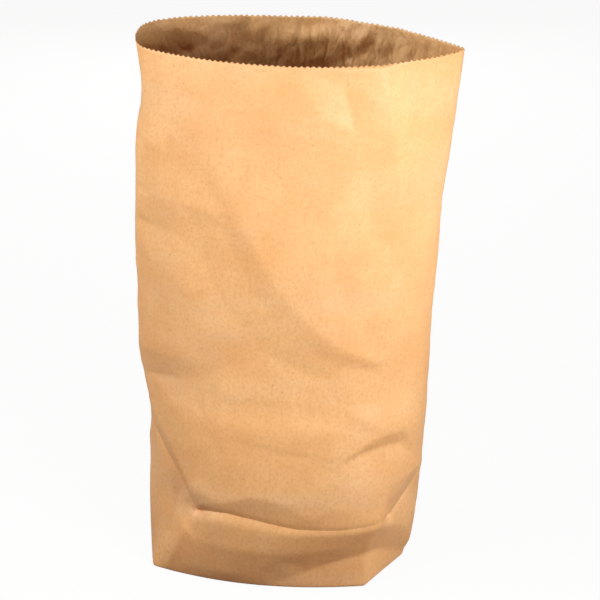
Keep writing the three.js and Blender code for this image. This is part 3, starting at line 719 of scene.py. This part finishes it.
def pinkedMouthTree(material):
    # cuts the teeth: points on the mouth drop by a zigzag that runs round it
    tree = bpy.data.node_groups.new("pinkedMouth", "GeometryNodeTree")
    face = tree.interface
    face.new_socket("Sheet", in_out="INPUT", socket_type="NodeSocketGeometry")
    face.new_socket("Tooth count", in_out="INPUT", socket_type="NodeSocketFloat")
    face.new_socket("Tooth depth", in_out="INPUT", socket_type="NodeSocketFloat")
    face.new_socket("Sheet", in_out="OUTPUT", socket_type="NodeSocketGeometry")
    given = addNode(tree, "NodeGroupInput")
    result = addNode(tree, "NodeGroupOutput")

    def attribute(name):
        node = addNode(tree, "GeometryNodeInputNamedAttribute", data_type="FLOAT")
        node.inputs["Name"].default_value = name
        return node.outputs["Attribute"]

    pitches = mathNode(tree, "MULTIPLY", attribute("turn"), given.outputs["Tooth count"])
    wave = mathNode(tree, "PINGPONG", pitches, 0.5)  # up and down once in a pitch
    drop = mathNode(tree, "SUBTRACT", 1.0, mathNode(tree, "MULTIPLY", wave, 2.0))
    drop = mathNode(tree, "MULTIPLY", drop, given.outputs["Tooth depth"])
    drop = mathNode(tree, "MULTIPLY", mathNode(tree, "MULTIPLY", drop, attribute("atMouth")), -1.0)
    offset = addNode(tree, "ShaderNodeCombineXYZ")
    tree.links.new(drop, offset.inputs["Z"])
    move = addNode(tree, "GeometryNodeSetPosition")
    tree.links.new(given.outputs["Sheet"], move.inputs["Geometry"])
    tree.links.new(offset.outputs["Vector"], move.inputs["Offset"])
    realize = addNode(tree, "GeometryNodeRealizeInstances")
    tree.links.new(move.outputs["Geometry"], realize.inputs["Geometry"])
    paint = addNode(tree, "GeometryNodeSetMaterial")
    paint.inputs["Material"].default_value = material
    tree.links.new(realize.outputs["Geometry"], paint.inputs["Geometry"])
    tree.links.new(paint.outputs["Geometry"], result.inputs[0])
    return tree


def plainMesh(piece, name):
    # the evaluated result becomes the piece's own mesh and the modifiers go
    evaluated = piece.evaluated_get(bpy.context.evaluated_depsgraph_get())
    mesh = bpy.data.meshes.new_from_object(evaluated)
    mesh.name = name
    piece.modifiers.clear()
    piece.data = mesh
    return piece


paper = kraftPaper()
sack = sackSheet()
teeth = sack.modifiers.new("pinkedMouth", "NODES")
teeth.node_group = pinkedMouthTree(paper)
sockets = teeth.node_group.interface.items_tree
socketIds = {socket.name: socket.identifier for socket in sockets if socket.in_out == "INPUT"}
teeth[socketIds["Tooth count"]] = float(sackForm["toothCount"])
teeth[socketIds["Tooth depth"]] = sackForm["toothDepth"] * mm
wall = sack.modifiers.new("paper", "SOLIDIFY")
wall.thickness = sackForm["paper"] * mm
wall.offset = -1  # the thickness lies inside
outerFaces = len(sack.data.polygons)
plainMesh(sack, "sackPaper")
isInner = np.arange(len(sack.data.polygons)) >= outerFaces
sack.data.attributes.new("innerPly", "FLOAT", "FACE").data.foreach_set("value", isInner.astype(float))
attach(sack, "root")
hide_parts("paper_sack")
print("sack faces:", len(sack.data.polygons))


# the flap pasted under the bottom from its rear edge
flapForm = {
    "lap": 24.0,  # how far it runs past the side tips onto the front half
    "margin": 4.0,
    "points": 69,
    "paste": 0.02,  # how far it reaches into the bottom
}


def closingFlap():
    width, lap = sackForm["flatWidth"], flapForm["lap"]
    around = np.linspace(width - lap, 2 * width + lap, flapForm["points"]) % turnLength
    up = np.full(around.shape, sackForm["paper"])
    inset = sackForm["footRoll"] + flapForm["margin"]
    outline = wallAt(around, up) - outwardAt(around, up) * inset + boxShift
    count = len(outline)
    low = np.column_stack([outline, np.zeros(count)])
    high = np.column_stack([outline, np.full(count, sackForm["paper"] + flapForm["paste"])])
    faces = [tuple(range(count))[::-1], tuple(range(count, 2 * count))]
    faces += [(k, (k + 1) % count, count + (k + 1) % count, count + k) for k in range(count)]
    mesh = bpy.data.meshes.new("closingFlap")
    mesh.from_pydata((np.vstack([low, high]) * mm).tolist(), [], faces)
    layer = mesh.uv_layers.new(name="paperPlace")
    for loop, data in zip(mesh.loops, layer.data):
        data.uv = mesh.vertices[loop.vertex_index].co.xy
    mesh.materials.append(paper)
    flap = bpy.data.objects.new("closingFlap", mesh)
    bpy.context.collection.objects.link(flap)
    return flap


flap = closingFlap()
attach(flap, "root")
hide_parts("paper_sack")
print("closing flap faces:", len(flap.data.polygons))

# the studio: a pale floor and backdrop, and lights placed round the middle of the sack
studio = {
    "floorHalf": 14.0,
    "floorColour": (0.8, 0.8, 0.8, 1),
    "floorGlow": 0.94,
    "floorBounce": (0.125, 0.045, 0.016, 1),
    "mirrored": 0.4,  # share of the pale surroundings that the paper's sheen shows
    "ambient": 0.066,
    "shade": (1, 0.5, 0.22, 1),
    # degrees, metres and watts; spread narrows a light and aimUp raises its aim
    "lights": [
        {"name": "keyLight", "azimuth": 43, "elevation": 18, "away": 1.1, "power": 6.15, "size": 0.4,
         "spread": 135, "aimUp": 0.14},
        {"name": "fillLight", "azimuth": -42, "elevation": 26, "away": 1.1, "power": 5.2, "size": 0.5},
        {"name": "leftLight", "azimuth": -78, "elevation": 32, "away": 2.4, "power": 25.0, "size": 1.0},
        {"name": "rightLight", "azimuth": 102, "elevation": 4, "away": 2.4, "power": 5.0, "size": 1.0,
         "spread": 90},
        {"name": "rearLight", "azimuth": 190, "elevation": 12, "away": 2.2, "power": 18.0, "size": 1.0},
        {"name": "topLight", "azimuth": 20, "elevation": 74, "away": 1.7, "power": 3.0, "size": 0.3},
    ],
}


def seenRays(tree):
    # rays that show the floor or backdrop to the eye, straight or by a reflection
    rays = addNode(tree, "ShaderNodeLightPath")
    mirrored = mathNode(tree, "MULTIPLY", rays.outputs["Is Glossy Ray"], studio["mirrored"])
    seen = mathNode(tree, "MAXIMUM", rays.outputs["Is Camera Ray"], mirrored)
    return mathNode(tree, "MAXIMUM", seen, rays.outputs["Is Transmission Ray"])


def paleFloor():
    mesh = bpy.data.meshes.new("floor")
    half = studio["floorHalf"]
    corners = [(-half, -half, 0), (half, -half, 0), (half, half, 0), (-half, half, 0)]
    mesh.from_pydata(corners, [], [(0, 1, 2, 3)])
    material = bpy.data.materials.new("paleFloor")
    material.use_nodes = True
    tree = material.node_tree
    tree.nodes.clear()
    out = addNode(tree, "ShaderNodeOutputMaterial")
    seenMatt = addNode(tree, "ShaderNodeBsdfDiffuse")
    seenMatt.inputs["Color"].default_value = studio["floorColour"]
    bounceMatt = addNode(tree, "ShaderNodeBsdfDiffuse")
    bounceMatt.inputs["Color"].default_value = studio["floorBounce"]
    glow = addNode(tree, "ShaderNodeEmission")
    pale = addNode(tree, "ShaderNodeMixShader")
    pale.inputs["Fac"].default_value = studio["floorGlow"]
    tree.links.new(seenMatt.outputs["BSDF"], pale.inputs[1])
    tree.links.new(glow.outputs["Emission"], pale.inputs[2])
    mix = addNode(tree, "ShaderNodeMixShader")
    tree.links.new(seenRays(tree), mix.inputs["Fac"])
    tree.links.new(bounceMatt.outputs["BSDF"], mix.inputs[1])
    tree.links.new(pale.outputs["Shader"], mix.inputs[2])
    tree.links.new(mix.outputs["Shader"], out.inputs["Surface"])
    mesh.materials.append(material)
    floor = bpy.data.objects.new("floor", mesh)
    bpy.context.collection.objects.link(floor)
    return floor


def fromRound(azimuth, elevation, away):
    azimuth, elevation = math.radians(azimuth), math.radians(elevation)
    level = math.cos(elevation)
    return Vector((math.sin(azimuth) * level, -math.cos(azimuth) * level, math.sin(elevation))) * away


def softBox(box, aim):
    light = bpy.data.lights.new(box["name"], "AREA")
    light.energy = box["power"]
    light.size = box["size"]
    light.spread = math.radians(box.get("spread", 180))
    lamp = bpy.data.objects.new(box["name"], light)
    offset = fromRound(box["azimuth"], box["elevation"], box["away"])
    lamp.location = aim + offset
    toward = Vector((0, 0, box.get("aimUp", 0))) - offset
    lamp.rotation_euler = toward.to_track_quat("-Z", "Y").to_euler()
    lamp.visible_camera = False
    bpy.context.collection.objects.link(lamp)


def softWorld():
    world = bpy.data.worlds.new("softWorld")
    world.use_nodes = True
    tree = world.node_tree
    tree.nodes.clear()
    out = addNode(tree, "ShaderNodeOutputWorld")
    backdrop = addNode(tree, "ShaderNodeBackground")
    backdrop.inputs["Color"].default_value = (1, 1, 1, 1)
    shade = addNode(tree, "ShaderNodeBackground")
    shade.inputs["Color"].default_value = studio["shade"]
    shade.inputs["Strength"].default_value = studio["ambient"]
    mix = addNode(tree, "ShaderNodeMixShader")
    tree.links.new(seenRays(tree), mix.inputs["Fac"])
    tree.links.new(shade.outputs["Background"], mix.inputs[1])
    tree.links.new(backdrop.outputs["Background"], mix.inputs[2])
    tree.links.new(mix.outputs["Shader"], out.inputs["Surface"])
    bpy.context.scene.world = world


# the photograph's standpoint
viewpoint = {
    "azimuth": 8.5,
    "elevation": 24.5,
    "distance": 3.4,
    "imageWidth": 600,  # in pixels
    "pixelSize": 1.34 * mm,  # at the sack
    "sensor": 36,
}


def photoCamera():
    aim = Vector((boxShift[0] * mm, boxShift[1] * mm, sackForm["height"] * mm / 2))
    offset = fromRound(viewpoint["azimuth"], viewpoint["elevation"], viewpoint["distance"])
    data = bpy.data.cameras.new("photoCamera")
    data.sensor_width = viewpoint["sensor"]
    seenWidth = viewpoint["pixelSize"] * viewpoint["imageWidth"]
    data.lens = data.sensor_width * viewpoint["distance"] / seenWidth
    camera = bpy.data.objects.new("photoCamera", data)
    camera.location = aim + offset
    camera.rotation_euler = (-offset).to_track_quat("-Z", "Y").to_euler()
    bpy.context.collection.objects.link(camera)
    bpy.context.scene.camera = camera
    return aim


aim = photoCamera()
paleFloor()
for box in studio["lights"]:
    softBox(box, aim)
softWorld()
bpy.context.scene.view_settings.view_transform = "Standard"
print("studio set")
